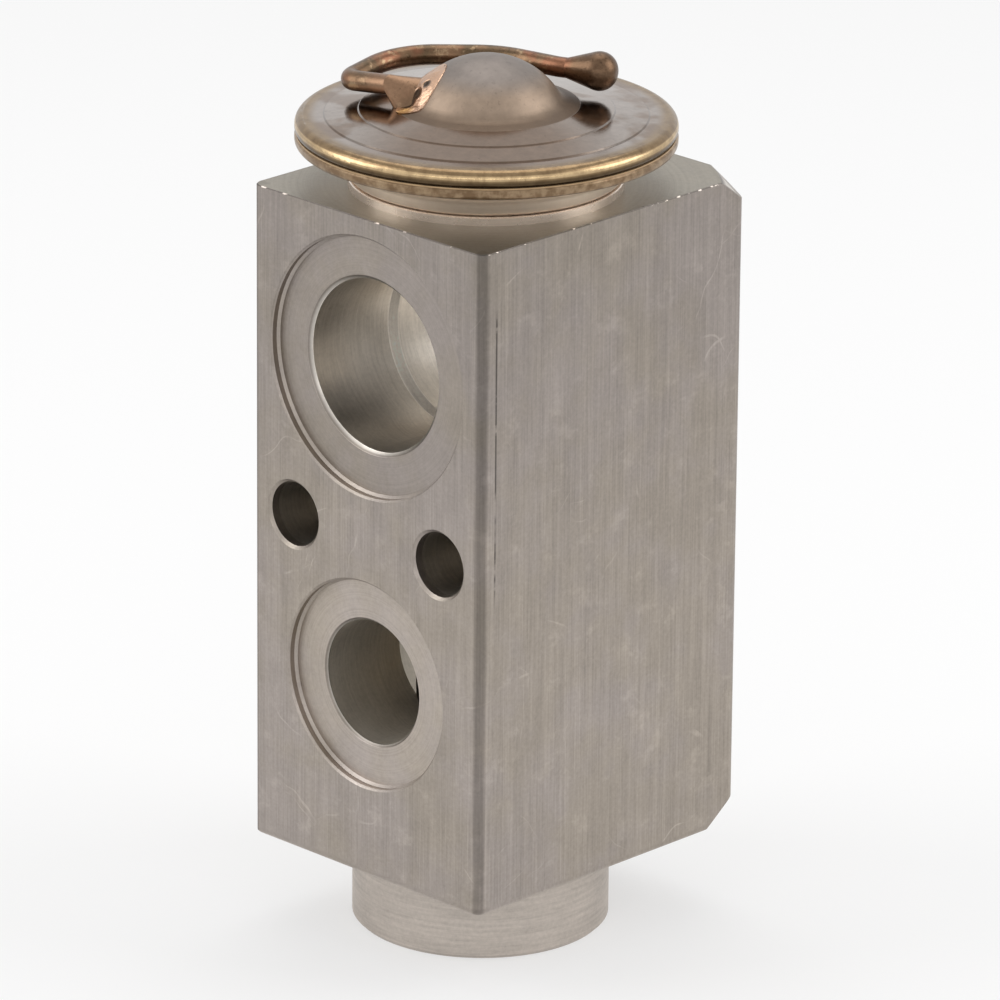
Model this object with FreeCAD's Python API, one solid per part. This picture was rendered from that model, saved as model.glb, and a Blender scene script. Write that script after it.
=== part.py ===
import FreeCAD, Part
import math
import os

# Expansion valve of the block type, in millimetres.
# The origin is the centre of the boss's bottom face, on the valve axis, and +Z is up.
# The liquid inlet and one suction port are in the front face (-Y), the outlet and the
# other suction port in the back face (+Y). The power head is on top.

V = FreeCAD.Vector
UP = V(0, 0, 1)

# Block and boss
block_width = 31.4
front_distance = 16.2
back_distance = 20.0
block_height = 67.0
corner_radius = 1.2
edge_break = 0.1
top_turned_radius = 22.7
bottom_turned_radius = 22.25
boss_radius = 12.7
boss_height = 8.6
boss_edge = 0.4
boss_root = 0.4

# Ports
suction_rise = 52.0
suction_bore_radius = 8.6
suction_socket_end = 4.6
suction_passage_radius = 8.4
suction_step_length = 1.0
suction_recess_radius = 13.0
inlet_rise = 19.6
inlet_bore_radius = 6.3
inlet_recess_radius = 10.55
inlet_bore_end = 5.2
outlet_rise = 25.2
outlet_bore_radius = 5.6
outlet_recess_radius = 9.0
outlet_bore_end = 10.0
recess_depth = 1.0
recess_edge = 0.2
recess_floor_chamfer = 0.25
suction_mouth_chamfer = 0.4
small_mouth_chamfer = 0.25
drill_half_angle = 59.0

# Two through holes for the clamping screws
bolt_rise = 34.6
bolt_spacing = 19.8
bolt_hole_radius = 3.25
bolt_hole_chamfer = 0.3

# Passages on the valve axis
chamber_radius = 6.5
chamber_start = 9.0
chamber_rise = 3.8
seat_insert_radius = 3.1
seat_insert_height = 2.4
outlet_chamber_radius = 2.6
outlet_chamber_headroom = 0.4
cross_passage_radius = 2.2
cross_passage_lift = 0.3
rod_hole_clearance = 0.05
seal_pocket_radius = 3.1
seal_pocket_depth = 5.1
head_opening_radius = 7.5
head_thread_radius = 11.0
head_thread_depth = 5.2
head_groove_radius = 12.5
head_groove_depth = 1.1

# Clearances shared by several pieces
thread_clearance = 0.05
face_gap = 0.02
slide_clearance = 0.05
press_clearance = 0.01
round_section_flats = 8

# Seat, ball and rods
orifice_radius = 1.75
seat_mouth_radius = 2.4
ball_radius = 2.5
ball_seat_gap = 0.05
push_rod_radius = 1.2
push_rod_insertion = 1.8
sensing_rod_radius = 3.0
sensing_rod_rise = 1.6
sensing_rod_taper = 0.8
rod_end_chamfer = 0.2
valve_stroke = 0.8

# Rod seal and its retainer
seal_cord_radius = 0.92
retainer_thickness = 0.8
retainer_hole_radius = 1.5
retainer_slots = 6
retainer_slot_width = 0.4
retainer_slot_depth = 0.8

# Ball carrier, damping spring, superheat spring and its seat
carrier_cup_radius = 3.2
carrier_cup_height = 1.7
carrier_flange_radius = 5.2
carrier_flange_thickness = 1.6
carrier_nose_radius = 2.7
carrier_nose_length = 1.6
nose_chamfer = 0.4
damper_sheet = 0.25
damper_wall_gap = 0.15
damper_leg_width = 2.0
damper_leg_length = 3.6
damper_legs = 3
damper_bend_radius = 0.5
spring_wire_radius = 0.65
spring_mean_radius = 4.2
spring_turns = 4.5
seat_washer_radius = 5.8
seat_washer_thickness = 1.2
seat_washer_nose_length = 1.8

# Adjusting screw and its seal
screw_recess = 1.2
screw_thread_radius = 7.5
screw_thread_length = 6.4
screw_nose_top = 16.0
screw_nose_clearance = 0.08
screw_socket_flats = 6.0
screw_socket_depth = 4.5
screw_groove_floor_radius = 4.9
screw_groove_bottom = 10.6
screw_groove_width = 2.0
screw_seal_cord_radius = 0.75
screw_chamfer = 0.5

# Power head
lid_wall = 1.6
bowl_wall = 1.0
rim_radius = 18.45
diaphragm_thickness = 0.15
lower_flange_rise = 4.12
socket_flange_radius = 13.33
socket_flange_thickness = 0.85
socket_bore_radius = 8.0
socket_spigot_radius = 11.6
disc_stop_gap = 0.35
bowl_foot_radius = 13.15
bowl_foot_rounding = 0.6
bowl_side_radius = 13.75
bowl_side_height = 1.75
bowl_side_rounding = 1.2
bowl_shoulder_inset = 1.0
bowl_shoulder_rounding = 0.5
flange_lower_rounding = 0.5
flange_crease_chamfer = 0.15
rim_top_rounding = 0.9
rim_lower_rounding = 0.5
brim_step_radius = 15.7
ring_step_radius = 12.4
step_height = 0.13
brim_rise = 0.08
ring_rise = 0.35
dome_foot_radius = 8.97
dome_foot_rise = 0.44
dome_radius = 8.4
dome_height = 4.76
dome_side_angle = 56.0
dome_flare_angle = 15.0
dome_flare_rounding = 1.7
clamp_width = 1.5
weld_width = 0.3
diaphragm_edge = 0.45
diaphragm_flat_radius = 9.6
diaphragm_wave = 0.22
diaphragm_wave_count = 1
diaphragm_wave_pitch = 4.0
disc_radius = 9.2
disc_thickness = 1.8
disc_chamfer = 0.4
disc_hub_radius = 4.6
disc_hub_length = 3.8
disc_socket_depth = 3.2

# Charge tube: formed copper tube, closed by a blunt ball at its free end. The points of its route
# are measured from the middle of the dome's foot.
tube_radius = 1.0
tube_start = V(-6.4, -6.65, 1.85)
tube_corners = [V(-12.4, -6.7, 1.05), V(-13.83, 1.4, 1.6), V(-5.81, 7.51, 2.0), V(1.6, 8.46, 2.2)]
tube_bends = [1.5, 6.5, 9.0, 4.0]
tube_end = V(5.23, 10.11, 2.25)
tube_end_radius = 1.93
tube_end_rounding = 1.78
tube_end_neck = 3.3

# Brazed joint of the tube on the dome, and the tube's spread foot in it
braze_azimuth = -36.0
braze_elevation = 39.0
braze_turn = 30.0
braze_half_length = 3.4
braze_half_width = 2.0
braze_shift = 0.6
braze_depth = 2.6
braze_film = 0.1
braze_swell = 0.4
braze_swell_radius = 5.3
foot_half_length = 2.8
foot_half_width = 1.5
foot_shift = 0.7
foot_drop = 0.9
foot_depth = 0.6

# Heights above the boss's bottom face that follow from the sizes above
block_top = boss_height + block_height
suction_height = boss_height + suction_rise
inlet_height = boss_height + inlet_rise
outlet_height = boss_height + outlet_rise
bolt_height = boss_height + bolt_rise
suction_floor = suction_height - suction_bore_radius
seal_pocket_floor = suction_floor - seal_pocket_depth
chamber_top = inlet_height + chamber_rise
seat_insert_top = chamber_top + seat_insert_height
cross_passage_height = seat_insert_top + cross_passage_radius + cross_passage_lift
outlet_chamber_top = cross_passage_height + cross_passage_radius + outlet_chamber_headroom
thread_floor = block_top - head_thread_depth
seat_contact_radius = ball_radius * math.sin(math.radians(45))
seat_contact_height = chamber_top + seat_mouth_radius - seat_contact_radius
ball_height = seat_contact_height - seat_contact_radius - ball_seat_gap / math.sin(math.radians(45))
push_rod_foot = ball_height + ball_radius + face_gap
sensing_rod_foot = suction_floor + sensing_rod_rise
push_rod_top = sensing_rod_foot + push_rod_insertion
lower_flange_bottom = block_top + lower_flange_rise
lower_flange_top = lower_flange_bottom + bowl_wall
diaphragm_bottom = lower_flange_top + face_gap
diaphragm_top = diaphragm_bottom + diaphragm_thickness
rim_bottom = diaphragm_top + face_gap
rim_top = rim_bottom + lid_wall
disc_top = diaphragm_bottom - face_gap
disc_bottom = disc_top - disc_thickness
hub_bottom = disc_bottom - disc_hub_length
sensing_rod_top = hub_bottom + disc_socket_depth - face_gap
dome_foot = rim_top + brim_rise + ring_rise + dome_foot_rise + 2 * step_height
dome_top = dome_foot + dome_height
carrier_cup_top = ball_height - ball_radius + carrier_cup_height
carrier_flange_top = carrier_cup_top - carrier_cup_height - face_gap * 2
carrier_flange_bottom = carrier_flange_top - carrier_flange_thickness
seat_washer_bottom = screw_nose_top + face_gap
seat_washer_top = seat_washer_bottom + seat_washer_thickness


def cylinder(radius, bottom, top):
    return Part.makeCylinder(radius, top - bottom, V(0, 0, bottom), UP)


def rounded_wire(corners):
    """Closed wire in the XZ plane through (radius, height) or (radius, height, rounding) corners."""
    count = len(corners)
    points = [V(c[0], 0, c[1]) for c in corners]
    roundings = [c[2] if len(c) > 2 else 0 for c in corners]
    edges = []
    previous_end = None
    first_start = None
    for i in range(count):
        corner = points[i]
        start = corner
        end = corner
        arc = None
        if roundings[i] > 0:
            to_last = (points[i - 1] - corner).normalize()
            to_next = (points[(i + 1) % count] - corner).normalize()
            half = to_last.getAngle(to_next) / 2
            reach = roundings[i] / math.tan(half)
            start = corner + to_last * reach
            end = corner + to_next * reach
            inward = (to_last + to_next).normalize()
            middle = corner + inward * (roundings[i] / math.sin(half) - roundings[i])
            arc = Part.Arc(start, middle, end).toShape()
        if previous_end is None:
            first_start = start
        elif (start - previous_end).Length > 1e-6:
            edges.append(Part.LineSegment(previous_end, start).toShape())
        if arc is not None:
            edges.append(arc)
        previous_end = end
    if (first_start - previous_end).Length > 1e-6:
        edges.append(Part.LineSegment(previous_end, first_start).toShape())
    return Part.Wire(edges)


def turned(corners):
    """Solid of revolution about the valve axis."""
    return Part.Face(rounded_wire(corners)).revolve(V(0, 0, 0), UP, 360)


def offset_corners(corners, wall):
    """Corners of an open outline moved by the wall to the left of its direction, or right if negative.

    Bends keep their centre, so sheet of even thickness lies between the two outlines.
    """
    points = [V(c[0], 0, c[1]) for c in corners]
    roundings = [c[2] if len(c) > 2 else 0 for c in corners]
    normals = []
    for a, b in zip(points, points[1:]):
        along = (b - a).normalize()
        normals.append(V(-along.z, 0, along.x))
    moved = []
    for i, point in enumerate(points):
        if i == 0:
            shift = normals[0] * wall
            rounding = 0
        elif i == len(points) - 1:
            shift = normals[-1] * wall
            rounding = 0
        else:
            both = normals[i - 1] + normals[i]
            shift = both * (wall * 2 / both.Length ** 2)
            outer_side = normals[i - 1].cross(normals[i]).y * wall > 0
            change = abs(wall) if outer_side else -abs(wall)
            rounding = max(roundings[i] + change, 0) if roundings[i] > 0 else 0
        moved.append((point.x + shift.x, point.z + shift.z, rounding))
    return moved


def drill(radius, start, end, height, direction):
    """Blind drilled hole along Y from start to end (distances from the axis), with a drill point."""
    point = radius / math.tan(math.radians(drill_half_angle))
    along = V(0, direction, 0)
    hole = Part.makeCylinder(radius, start - end, V(0, direction * end, height), along)
    tip = Part.makeCone(0, radius, point, V(0, direction * (end - point), height), along)
    return hole.fuse(tip)


def port(bore_radius, recess_radius, face, mouth_chamfer, height, direction):
    """Cutter for a port's short bore mouth and its flat recess, out to past the face."""
    floor = face - recess_depth
    corners = [
        (0, floor - 2 * mouth_chamfer),
        (bore_radius, floor - 2 * mouth_chamfer),
        (bore_radius, floor - mouth_chamfer),
        (bore_radius + mouth_chamfer, floor),
        (recess_radius - recess_floor_chamfer, floor),
        (recess_radius, floor + recess_floor_chamfer),
        (recess_radius, face - recess_edge),
        (recess_radius + 2 * recess_edge, face + recess_edge),
        (0, face + recess_edge),
    ]
    tool = turned(corners)
    tool.rotate(V(0, 0, 0), V(1, 0, 0), -90 * direction)
    tool.translate(V(0, 0, height))
    return tool


def make_block():
    """Drawn bar cut to length, with its ends turned and the boss turned on its lower end."""
    depth = front_distance + back_distance
    bar = Part.makeBox(block_width, depth, block_height, V(-block_width / 2, -front_distance, boss_height))
    upright = [e for e in bar.Edges if abs(e.Vertexes[0].Z - e.Vertexes[1].Z) > block_height / 2]
    bar = bar.makeFillet(corner_radius, upright)
    ends = [e for e in bar.Edges if abs(e.BoundBox.ZMin - e.BoundBox.ZMax) < 1e-6]
    bar = bar.makeChamfer(edge_break, ends)
    reach = math.hypot(block_width / 2, back_distance)
    envelope = turned([
        (0, boss_height - boss_height / 2),
        (bottom_turned_radius - boss_height / 2, boss_height - boss_height / 2),
        (reach, boss_height + reach - bottom_turned_radius),
        (reach, block_top - reach + top_turned_radius),
        (top_turned_radius, block_top),
        (0, block_top),
    ])
    bar = bar.common(envelope)
    boss = turned([
        (0, 0),
        (boss_radius - boss_edge, 0),
        (boss_radius, boss_edge),
        (boss_radius, boss_height - boss_root),
        (boss_radius + boss_root, boss_height),
        (boss_radius + boss_root, boss_height + boss_root),
        (0, boss_height + boss_root),
    ])
    return bar.fuse(boss)


def make_valve_body():
    body = make_block()
    cutters = []
    # Suction passage, right through, with a slightly wider socket and a recess at each face.
    depth = front_distance + back_distance
    cutters.append(Part.makeCylinder(
        suction_passage_radius, depth, V(0, -front_distance, suction_height), V(0, 1, 0)))
    for face, side in ((front_distance, -1), (back_distance, 1)):
        cutters.append(Part.makeCylinder(
            suction_bore_radius, face - suction_socket_end,
            V(0, side * suction_socket_end, suction_height), V(0, side, 0)))
        cutters.append(Part.makeCone(
            suction_passage_radius, suction_bore_radius, suction_step_length,
            V(0, side * (suction_socket_end - suction_step_length), suction_height), V(0, side, 0)))
        cutters.append(port(
            suction_bore_radius, suction_recess_radius, face, suction_mouth_chamfer, suction_height, side))
    # Liquid inlet in the front face and outlet in the back face.
    cutters.append(port(
        inlet_bore_radius, inlet_recess_radius, front_distance, small_mouth_chamfer, inlet_height, -1))
    cutters.append(drill(
        inlet_bore_radius, front_distance - recess_depth, inlet_bore_end, inlet_height, -1))
    cutters.append(port(
        outlet_bore_radius, outlet_recess_radius, back_distance, small_mouth_chamfer, outlet_height, 1))
    cutters.append(drill(
        outlet_bore_radius, back_distance - recess_depth, outlet_bore_end, outlet_height, 1))
    cutters.append(Part.makeCylinder(
        cross_passage_radius, outlet_bore_end, V(0, 0, cross_passage_height), V(0, 1, 0)))
    # Clamping screw holes.
    for side in (-1, 1):
        x = side * bolt_spacing / 2
        cutters.append(Part.makeCylinder(
            bolt_hole_radius, depth, V(x, -front_distance, bolt_height), V(0, 1, 0)))
        for face, direction in ((-front_distance, 1), (back_distance, -1)):
            mouth = Part.makeCone(
                bolt_hole_radius + bolt_hole_chamfer, bolt_hole_radius, bolt_hole_chamfer,
                V(x, face, bolt_height), V(0, direction, 0))
            cutters.append(mouth)
    # Axial holes: screw thread and valve chamber from below, head thread and rod passages from above.
    cutters.append(turned([
        (0, 0),
        (screw_thread_radius + screw_chamfer, 0),
        (screw_thread_radius, screw_chamfer),
        (screw_thread_radius, chamber_start - screw_chamfer),
        (chamber_radius, chamber_start + screw_chamfer),
        (chamber_radius, chamber_top),
        (seat_insert_radius, chamber_top),
        (seat_insert_radius, seat_insert_top),
        (outlet_chamber_radius, seat_insert_top),
        (outlet_chamber_radius, outlet_chamber_top),
        (push_rod_radius + rod_hole_clearance, outlet_chamber_top),
        (push_rod_radius + rod_hole_clearance, seal_pocket_floor),
        (seal_pocket_radius, seal_pocket_floor),
        (seal_pocket_radius, suction_height),
        (head_opening_radius, suction_height),
        (head_opening_radius, thread_floor),
        (head_thread_radius, thread_floor),
        (head_thread_radius, block_top - head_groove_depth),
        (head_groove_radius, block_top - head_groove_depth),
        (head_groove_radius, block_top),
        (0, block_top),
    ]))
    return body.cut(cutters[0].multiFuse(cutters[1:]))


def make_orifice_seat():
    outer = seat_insert_radius - press_clearance
    cone_top = chamber_top + seat_mouth_radius - orifice_radius
    return turned([
        (seat_mouth_radius, chamber_top),
        (outer, chamber_top),
        (outer, seat_insert_top - face_gap),
        (orifice_radius, seat_insert_top - face_gap),
        (orifice_radius, cone_top),
    ])


def make_valve_ball():
    return Part.makeSphere(ball_radius, V(0, 0, ball_height))


def make_push_rod():
    return turned([
        (0, push_rod_foot),
        (push_rod_radius - rod_end_chamfer, push_rod_foot),
        (push_rod_radius, push_rod_foot + rod_end_chamfer),
        (push_rod_radius, push_rod_top - rod_end_chamfer),
        (push_rod_radius - rod_end_chamfer, push_rod_top),
        (0, push_rod_top),
    ])


def make_sensing_rod():
    hole = push_rod_radius + press_clearance
    return turned([
        (hole, sensing_rod_foot),
        (sensing_rod_radius - sensing_rod_taper, sensing_rod_foot),
        (sensing_rod_radius, sensing_rod_foot + sensing_rod_taper),
        (sensing_rod_radius, sensing_rod_top - rod_end_chamfer),
        (sensing_rod_radius - rod_end_chamfer, sensing_rod_top),
        (0, sensing_rod_top),
        (0, push_rod_top + face_gap),
        (hole, push_rod_top + face_gap),
    ])


def make_thrust_disc():
    hole = sensing_rod_radius + press_clearance
    return turned([
        (hole, hub_bottom),
        (disc_hub_radius, hub_bottom),
        (disc_hub_radius, disc_bottom),
        (disc_radius, disc_bottom),
        (disc_radius, disc_top - disc_chamfer),
        (disc_radius - disc_chamfer, disc_top),
        (0, disc_top),
        (0, hub_bottom + disc_socket_depth),
        (hole, hub_bottom + disc_socket_depth),
    ])


def seal_ring(centre_radius, cord_radius, height):
    """Seal ring, its round cord drawn with eight flats that touch the cord's circle."""
    half_turn = math.pi / round_section_flats
    reach = cord_radius / math.cos(half_turn)
    corners = []
    for i in range(round_section_flats):
        angle = (2 * i + 1) * half_turn
        corners.append((centre_radius + reach * math.cos(angle), height + reach * math.sin(angle)))
    return turned(corners)


def make_rod_seal():
    centre = push_rod_radius + slide_clearance + seal_cord_radius
    return seal_ring(centre, seal_cord_radius, seal_pocket_floor + face_gap + seal_cord_radius)


def make_seal_retainer():
    """Push-in spring washer whose slotted inner edge clears the rod."""
    bottom = seal_pocket_floor + 2 * (seal_cord_radius + face_gap)
    washer = cylinder(seal_pocket_radius - press_clearance, bottom, bottom + retainer_thickness)
    washer = washer.cut(cylinder(retainer_hole_radius, bottom, bottom + retainer_thickness))
    reach = retainer_hole_radius + retainer_slot_depth
    for i in range(retainer_slots):
        slot = Part.makeBox(
            reach, retainer_slot_width, retainer_thickness, V(0, -retainer_slot_width / 2, bottom))
        slot.rotate(V(0, 0, 0), UP, 360 * i / retainer_slots)
        washer = washer.cut(slot)
    return washer


def make_ball_carrier():
    nose_foot = carrier_flange_bottom - carrier_nose_length
    blank = turned([
        (0, nose_foot),
        (carrier_nose_radius - nose_chamfer, nose_foot),
        (carrier_nose_radius, nose_foot + nose_chamfer),
        (carrier_nose_radius, carrier_flange_bottom),
        (carrier_flange_radius, carrier_flange_bottom),
        (carrier_flange_radius, carrier_flange_top),
        (carrier_cup_radius, carrier_flange_top),
        (carrier_cup_radius, carrier_cup_top),
        (0, carrier_cup_top),
    ])
    return blank.cut(Part.makeSphere(ball_radius + press_clearance, V(0, 0, ball_height)))


def make_damper_spring():
    """Sheet ring on the carrier's flange, with legs bent down that rub along the chamber wall."""
    bottom = carrier_flange_top + face_gap
    top = bottom + damper_sheet
    outer = chamber_radius - damper_wall_gap
    inner = carrier_cup_radius + slide_clearance
    shell = turned([
        (inner, bottom),
        (outer - damper_sheet, bottom, damper_bend_radius - damper_sheet),
        (outer - damper_sheet, top - damper_leg_length),
        (outer, top - damper_leg_length),
        (outer, top, damper_bend_radius),
        (inner, top),
    ])
    keep = cylinder(carrier_flange_radius, bottom - damper_sheet, top)
    for i in range(damper_legs):
        leg = Part.makeBox(
            damper_leg_width, outer, damper_leg_length, V(-damper_leg_width / 2, 0, top - damper_leg_length))
        leg.rotate(V(0, 0, 0), UP, 360 * i / damper_legs)
        keep = keep.fuse(leg)
    return shell.common(keep)


def make_superheat_spring():
    """Compression spring with its end turns ground flat on the washer and the carrier."""
    bottom = seat_washer_top + face_gap
    top = carrier_flange_bottom - face_gap
    pitch = (top - bottom) / spring_turns
    start = V(spring_mean_radius, 0, bottom)
    helix = Part.makeHelix(pitch, top - bottom, spring_mean_radius)
    helix.translate(V(0, 0, bottom))
    climb = V(0, 2 * math.pi * spring_mean_radius, pitch)
    wire_circle = Part.makeCircle(spring_wire_radius, start, climb)
    section = Part.makePolygon(wire_circle.discretize(round_section_flats + 1))
    coil = Part.Wire(helix.Edges).makePipeShell([section], True, True)
    outer = spring_mean_radius + 2 * spring_wire_radius
    return coil.common(cylinder(outer, bottom, top))


def make_spring_seat():
    nose_top = seat_washer_top + seat_washer_nose_length
    return turned([
        (0, seat_washer_bottom),
        (seat_washer_radius, seat_washer_bottom),
        (seat_washer_radius, seat_washer_top),
        (carrier_nose_radius, seat_washer_top),
        (carrier_nose_radius, nose_top - nose_chamfer),
        (carrier_nose_radius - nose_chamfer, nose_top),
        (0, nose_top),
    ])


def make_adjusting_screw():
    """Threaded plug with a hexagon socket, its nose grooved for a seal."""
    thread = screw_thread_radius - thread_clearance
    nose = chamber_radius - screw_nose_clearance
    thread_top = screw_recess + screw_thread_length
    groove_top = screw_groove_bottom + screw_groove_width
    plug = turned([
        (0, screw_recess),
        (thread - screw_chamfer, screw_recess),
        (thread, screw_recess + screw_chamfer),
        (thread, thread_top - screw_chamfer),
        (thread - screw_chamfer, thread_top),
        (nose, thread_top),
        (nose, screw_groove_bottom),
        (screw_groove_floor_radius, screw_groove_bottom),
        (screw_groove_floor_radius, groove_top),
        (nose, groove_top),
        (nose, screw_nose_top - screw_chamfer),
        (nose - screw_chamfer, screw_nose_top),
        (0, screw_nose_top),
    ])
    corner = screw_socket_flats / math.sqrt(3)
    points = [
        V(corner * math.cos(math.radians(60 * i)), corner * math.sin(math.radians(60 * i)), screw_recess)
        for i in range(6)
    ]
    hexagon = Part.Face(Part.makePolygon(points + points[:1]))
    return plug.cut(hexagon.extrude(UP * screw_socket_depth))


def make_screw_seal():
    centre = screw_groove_floor_radius + face_gap + screw_seal_cord_radius
    return seal_ring(centre, screw_seal_cord_radius, screw_groove_bottom + screw_groove_width / 2)


def make_head_socket():
    """Threaded hub that the lower cover is brazed to, with the flange that seats on the block."""
    thread = head_thread_radius - thread_clearance
    flange_top = block_top + socket_flange_thickness
    spigot_top = disc_bottom - valve_stroke - disc_stop_gap
    return turned([
        (socket_bore_radius, thread_floor + screw_chamfer),
        (thread - screw_chamfer, thread_floor + screw_chamfer),
        (thread, thread_floor + 2 * screw_chamfer),
        (thread, block_top),
        (socket_flange_radius, block_top),
        (socket_flange_radius, flange_top - edge_break),
        (socket_flange_radius - edge_break, flange_top),
        (socket_spigot_radius, flange_top),
        (socket_spigot_radius, spigot_top),
        (socket_bore_radius, spigot_top),
    ])


def make_head_seal():
    cord_radius = head_groove_depth / 2 - face_gap
    centre = head_groove_radius - face_gap - cord_radius
    return seal_ring(centre, cord_radius, block_top - head_groove_depth / 2)


def make_head_lower_cover():
    """Pressed bowl: foot on the socket's flange, steep side, sloping shoulder, flat rim flange."""
    foot = block_top + socket_flange_thickness + face_gap
    hole = socket_spigot_radius + press_clearance
    outside = [
        (hole, foot),
        (bowl_foot_radius, foot, bowl_foot_rounding),
        (bowl_side_radius, foot + bowl_side_height, bowl_side_rounding),
        (rim_radius - bowl_shoulder_inset, lower_flange_bottom, bowl_shoulder_rounding),
        (rim_radius, lower_flange_bottom),
    ]
    inside = offset_corners(outside, bowl_wall)
    rim = [
        (rim_radius, lower_flange_bottom, flange_lower_rounding),
        (rim_radius, lower_flange_top - flange_crease_chamfer),
        (rim_radius - flange_crease_chamfer, lower_flange_top),
    ]
    return turned(outside[:-1] + rim + list(reversed(inside[:-1])))


def lid_outline():
    """Outside of the lid from the valve axis to its rim, without the steps of its rings."""
    side_slope = math.tan(math.radians(dome_side_angle))
    flare_slope = math.tan(math.radians(dome_flare_angle))
    crown = dome_radius * math.tan(math.radians(dome_side_angle / 2))
    drop = (dome_height - (dome_foot_radius - crown) * flare_slope) / (1 - flare_slope / side_slope)
    return [
        (0, dome_top),
        (crown, dome_top, dome_radius),
        (crown + drop / side_slope, dome_top - drop, dome_flare_rounding),
        (dome_foot_radius, dome_foot),
        (ring_step_radius - step_height, dome_foot - dome_foot_rise),
    ]


def make_head_upper_cover():
    """Pressed lid: rolled rim, two shallow rings and the dome that holds the charge."""
    ring_top = dome_foot - dome_foot_rise - step_height
    clamp_radius = rim_radius - clamp_width
    outside = lid_outline() + [
        (ring_step_radius, ring_top),
        (brim_step_radius - step_height, ring_top - ring_rise),
        (brim_step_radius, ring_top - ring_rise - step_height),
        (rim_radius, rim_top, rim_top_rounding),
        (rim_radius, rim_bottom, rim_lower_rounding),
        (clamp_radius, rim_bottom),
    ]
    inside = offset_corners(lid_outline() + [(clamp_radius, rim_top)], -lid_wall)
    return turned(outside + list(reversed(inside[:-1])))


def make_head_diaphragm():
    """Thin sheet clamped at the rim, flat over the disc, with round waves between."""
    upper = [(0, diaphragm_top), (diaphragm_flat_radius, diaphragm_top)]
    for i in range(diaphragm_wave_count):
        crest = diaphragm_flat_radius + (i + 1 / 4) * diaphragm_wave_pitch
        upper.append((crest, diaphragm_top + diaphragm_wave))
        upper.append((crest + diaphragm_wave_pitch / 2, diaphragm_top - diaphragm_wave))
    upper.append((diaphragm_flat_radius + diaphragm_wave_count * diaphragm_wave_pitch, diaphragm_top))
    upper.append((rim_radius - diaphragm_edge, diaphragm_top))
    lower = [(r, z - diaphragm_thickness) for r, z in reversed(upper)]
    return turned(upper + lower)


def make_rim_weld():
    """Weld seam that closes the crease between the two covers, outside the diaphragm's edge."""
    inner = rim_radius - diaphragm_edge + face_gap
    return turned([
        (inner, diaphragm_bottom),
        (inner + weld_width, diaphragm_bottom),
        (inner + weld_width, diaphragm_top),
        (inner, diaphragm_top),
    ])


def dome_body(growth):
    """Solid under the lid's outside, grown by the given amount."""
    outline = offset_corners(lid_outline(), growth)
    edge_radius = outline[-1][0]
    return turned(outline + [(edge_radius, rim_bottom), (0, rim_bottom)])


def braze_frame():
    """Middle of the braze on the dome, its outward direction, and the way along it, towards its high end."""
    azimuth = math.radians(braze_azimuth)
    elevation = math.radians(braze_elevation)
    level = V(math.sin(azimuth), -math.cos(azimuth), 0)
    outward = level * math.cos(elevation) + UP * math.sin(elevation)
    upward = (UP - outward * UP.dot(outward)).normalize()
    length_way = FreeCAD.Rotation(outward, braze_turn).multVec(upward)
    centre = V(0, 0, dome_top - dome_radius) + outward * dome_radius
    return centre, outward, length_way


def oval_wire(centre, half_length, half_width, length_way, outward):
    """Oval about a centre, long along one direction and square to another."""
    return Part.Wire(Part.Ellipse(
        centre + length_way * half_length,
        centre + outward.cross(length_way) * half_width,
        centre).toShape())


def bent_path(points, radii):
    """Straight runs joined by tangent arcs of the given radii."""
    edges = []
    last = points[0]
    for i, radius in enumerate(radii, start=1):
        corner = points[i]
        to_last = (last - corner).normalize()
        to_next = (points[i + 1] - corner).normalize()
        half = to_last.getAngle(to_next) / 2
        reach = radius / math.tan(half)
        start = corner + to_last * reach
        end = corner + to_next * reach
        middle = corner + (to_last + to_next).normalize() * (radius / math.sin(half) - radius)
        edges.append(Part.LineSegment(last, start).toShape())
        edges.append(Part.Arc(start, middle, end).toShape())
        last = end
    edges.append(Part.LineSegment(last, points[-1]).toShape())
    return Part.Wire(edges)


def tube_end_solid(growth):
    """Cone that swells from the tube into a blunt ball, about the origin and pointing up."""
    inset = tube_end_radius - tube_end_rounding
    reach = math.hypot(tube_radius - inset, tube_end_neck)
    lean = math.asin(tube_end_rounding / reach) - math.atan((tube_radius - inset) / tube_end_neck)
    corner_radius = tube_radius + (tube_end_neck + tube_end_rounding) * math.tan(lean)
    return turned(offset_corners([
        (0, tube_end_rounding),
        (corner_radius, tube_end_rounding, tube_end_rounding),
        (tube_radius, -tube_end_neck),
    ], growth) + [(0, -tube_end_neck)])


def tube_solid(growth):
    """Tube bent round the dome, spread into an oval foot on it and closed by a ball at its end."""
    centre, outward, length_way = braze_frame()
    base = V(0, 0, dome_foot)
    points = [base + point for point in [tube_start] + tube_corners + [tube_end]]
    section = Part.Wire(Part.makeCircle(tube_radius + growth, points[0], points[0] - points[1]))
    bent = bent_path(points, tube_bends).makePipeShell([section], True, False)
    across = outward.cross(length_way)
    foot_centre = centre - outward * foot_depth + across * foot_shift - length_way * foot_drop
    oval = oval_wire(foot_centre, foot_half_length + growth, foot_half_width + growth, length_way, outward)
    foot = Part.makeLoft([oval, section], True)
    end = tube_end_solid(growth)
    end.Placement = FreeCAD.Placement(points[-1], FreeCAD.Rotation(UP, points[-1] - points[-2]))
    return bent.multiFuse([foot, end])


def make_charge_tube():
    return tube_solid(0).cut(dome_body(face_gap))


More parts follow.
